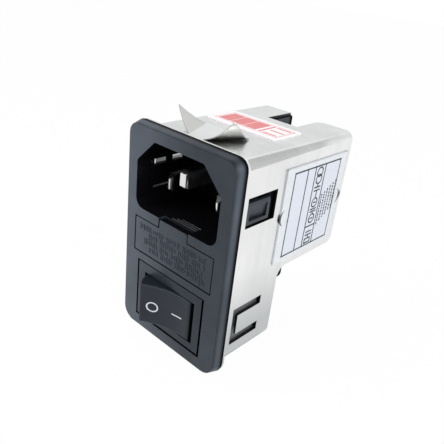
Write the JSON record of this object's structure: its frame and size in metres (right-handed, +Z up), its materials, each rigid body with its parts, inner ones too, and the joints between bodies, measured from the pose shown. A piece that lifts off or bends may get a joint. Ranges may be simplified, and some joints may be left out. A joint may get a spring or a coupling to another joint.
{
  "type": "panel inlet line filter",
  "caption": "Snap-in mains inlet with a fuse drawer and a rocker switch in one bezel, and a line filter in the stepped metal can behind it.",
  "frame": {"origin": "middle of the bezel's outline, in the plane of the flange's rear face, which touches the panel", "axes": "+Z up along the bezel's long side with the inlet above the switch, -Y out of the front face, +X to the right seen from the front"},
  "size_m": [0.0306, 0.0538, 0.0569],
  "materials": {
    "black_moulding": "satin",
    "rocker_black": "satin",
    "tinned_sheet": "satin",
    "spring_steel": "satin",
    "nickel_plate": "polished",
    "brass": "satin",
    "enamelled_copper": "gloss",
    "ferrite": "matte",
    "board_green": "satin",
    "capacitor_yellow": "satin",
    "disc_blue": "satin",
    "resistor_beige": "matte",
    "fuse_glass": "clear",
    "label_white": "satin",
    "sticker_white": "satin"
  },
  "bodies": {
    "housing": {"front_bezel": "black_moulding", "filter_can": "tinned_sheet", "snap_spring_top": "spring_steel", "snap_spring_bottom": "spring_steel", "rear_cover": "black_moulding", "pin_line": "nickel_plate", "pin_neutral": "nickel_plate", "pin_earth": "nickel_plate", "fuse_contact_left_front": "nickel_plate", "fuse_contact_left_rear": "nickel_plate", "fuse_contact_right_front": "nickel_plate", "fuse_contact_right_rear": "nickel_plate", "switch_housing": "rocker_black", "switch_terminal_common_lower": "brass", "switch_terminal_common_upper": "brass", "switch_terminal_switched_lower": "brass", "switch_terminal_switched_upper": "brass", "choke_core": "ferrite", "choke_winding_left": "enamelled_copper", "choke_winding_right": "enamelled_copper", "earth_capacitor_left": "disc_blue", "earth_capacitor_right": "disc_blue", "line_capacitor": "capacitor_yellow", "discharge_resistor": "resistor_beige", "circuit_board": "board_green", "rear_tab_line": "nickel_plate", "rear_tab_neutral": "nickel_plate", "rear_tab_earth": "nickel_plate", "side_label": "label_white", "top_sticker": "sticker_white"},
    "fuse_drawer": {"fuse_drawer": "black_moulding", "fuse_glass_left": "fuse_glass", "fuse_glass_right": "fuse_glass", "fuse_cap_left_front": "nickel_plate", "fuse_cap_left_rear": "nickel_plate", "fuse_cap_right_front": "nickel_plate", "fuse_cap_right_rear": "nickel_plate", "fuse_wire_left": "nickel_plate", "fuse_wire_right": "nickel_plate"},
    "rocker": {"rocker": "rocker_black", "plunger_lower": "nickel_plate", "plunger_upper": "nickel_plate"},
    "contact_blades": {"contact_blade_lower": "brass", "contact_blade_upper": "brass"}
  },
  "joints": [
    {"name": "drawer_slide", "type": "slide", "parent": "housing", "child": "fuse_drawer", "axis": [0, -1, 0], "range_m": [0, 0.021]},
    {"name": "rocker_turn", "type": "hinge", "parent": "housing", "child": "rocker", "pos_m": [0, -0.0019, -0.01402], "axis": [0, 0, -1], "range_deg": [0, 34.8]},
    {"name": "blades_turn", "type": "hinge", "parent": "housing", "child": "contact_blades", "pos_m": [0, 0.00665, -0.01402], "axis": [0, 0, 1], "range_deg": [0, 12.05]}
  ],
  "couplings": [
    {"joint": "blades_turn", "follows": "rocker_turn", "ratio": 0.345}
  ]
}
